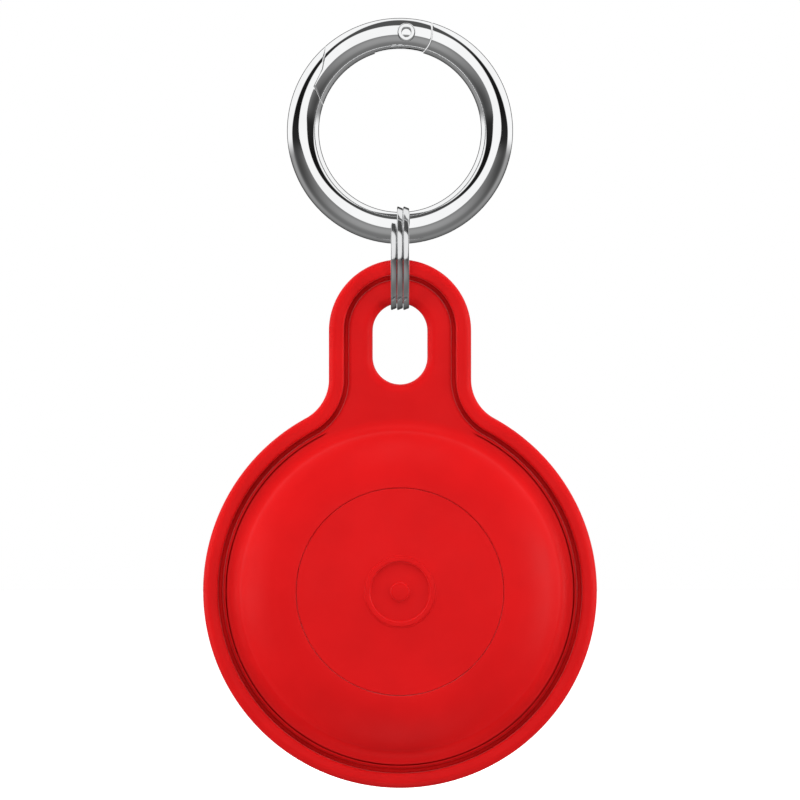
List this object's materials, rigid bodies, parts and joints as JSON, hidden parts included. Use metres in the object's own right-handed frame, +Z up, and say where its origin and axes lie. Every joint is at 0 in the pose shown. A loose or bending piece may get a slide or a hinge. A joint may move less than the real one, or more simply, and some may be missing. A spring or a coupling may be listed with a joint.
{
  "type": "bluetooth tracker tag",
  "caption": "Round tracker tag in a soft two-shell case with a slotted tab, hung by a split ring from a spring-gate ring, with a press disc and a battery door.",
  "frame": {"origin": "crown of the gate ring's inner edge, where a hook, strap or key ring carries it", "axes": "+Z up along the line it hangs in, front face and press disc towards -Y, +X to the right seen from the front"},
  "size_m": [0.0418, 0.0114, 0.0818],
  "materials": {
    "gate_ring_chrome": "polished chrome plating on zinc alloy",
    "rivet_chrome": "polished, with a rolled dimple",
    "spring_steel": "drawn wire, oiled",
    "split_ring_chrome": "plated flat steel wire",
    "case_silicone": "soft-touch silicone, satin, with a very fine moulded grain",
    "press_disc_silicone": "soft-touch silicone skin, satin",
    "core_plastic": "moulded ABS, semi-gloss",
    "board_laminate": "solder mask over glass laminate",
    "screw_steel": "zinc plated",
    "chip_epoxy": "moulded epoxy",
    "shield_tin": "tinned sheet",
    "crystal_metal": "lidded metal can",
    "passive_ceramic": "ceramic with tinned ends",
    "contact_gold": "gold-flashed spring bronze",
    "switch_metal": "stamped cover",
    "switch_plunger_plastic": "moulded nylon",
    "buzzer_plastic": "moulded LCP",
    "cell_steel": "nickel-plated steel",
    "cell_seal_plastic": "moulded polypropylene",
    "cell_mix": "pressed powder",
    "door_steel": "satin stainless",
    "seal_rubber": "nitrile rubber"
  },
  "bodies": {
    "gate_ring": {"ring_body": "gate_ring_chrome", "gate_pin": "rivet_chrome", "gate_spring": "spring_steel"},
    "gate": {"gate": "gate_ring_chrome"},
    "link": {"split_ring": "split_ring_chrome"},
    "tag": {"case_front": "case_silicone", "case_rear": "case_silicone", "core_cover": "core_plastic", "core_base": "core_plastic", "circuit_board": "board_laminate", "board_screws": "screw_steel", "radio_chip": "chip_epoxy", "radio_shield": "shield_tin", "crystal": "crystal_metal", "passives": "passive_ceramic", "antenna": "contact_gold", "switch_body": "switch_metal", "buzzer": "buzzer_plastic", "contact_negative": "contact_gold", "contact_positive": "contact_gold", "cell_can": "cell_steel", "cell_seal": "cell_seal_plastic", "cell_cap": "cell_steel", "cell_pellet": "cell_mix"},
    "find_button": {"press_disc": "press_disc_silicone", "switch_plunger": "switch_plunger_plastic"},
    "battery_door": {"battery_door": "door_steel", "door_seal": "seal_rubber"}
  },
  "joints": [
    {"name": "gate_swing", "type": "hinge", "parent": "gate_ring", "child": "gate", "pos_m": [0.00067, 0, 0.00183], "axis": [0, -1, 0], "range_deg": [0, 32], "stiffness_Nm_per_rad": 0.01, "springref_deg": -34.38, "deforming": ["gate_spring"]},
    {"name": "link_swing", "type": "hinge", "parent": "gate_ring", "child": "link", "pos_m": [0, 0, -0.0189], "axis": [1, 0, 0], "range_deg": [-130, 130]},
    {"name": "tag_swing", "type": "hinge", "parent": "link", "child": "tag", "pos_m": [0, 0, -0.0298], "axis": [0, 1, 0], "range_deg": [-75, 75]},
    {"name": "press_travel", "type": "slide", "parent": "tag", "child": "find_button", "axis": [0, 1, 0], "range_m": [0, 0.0004], "stiffness_N_per_m": 3000},
    {"name": "door_lift", "type": "slide", "parent": "tag", "child": "battery_door", "axis": [0, 1, 0], "range_m": [0, 0.006]}
  ]
}
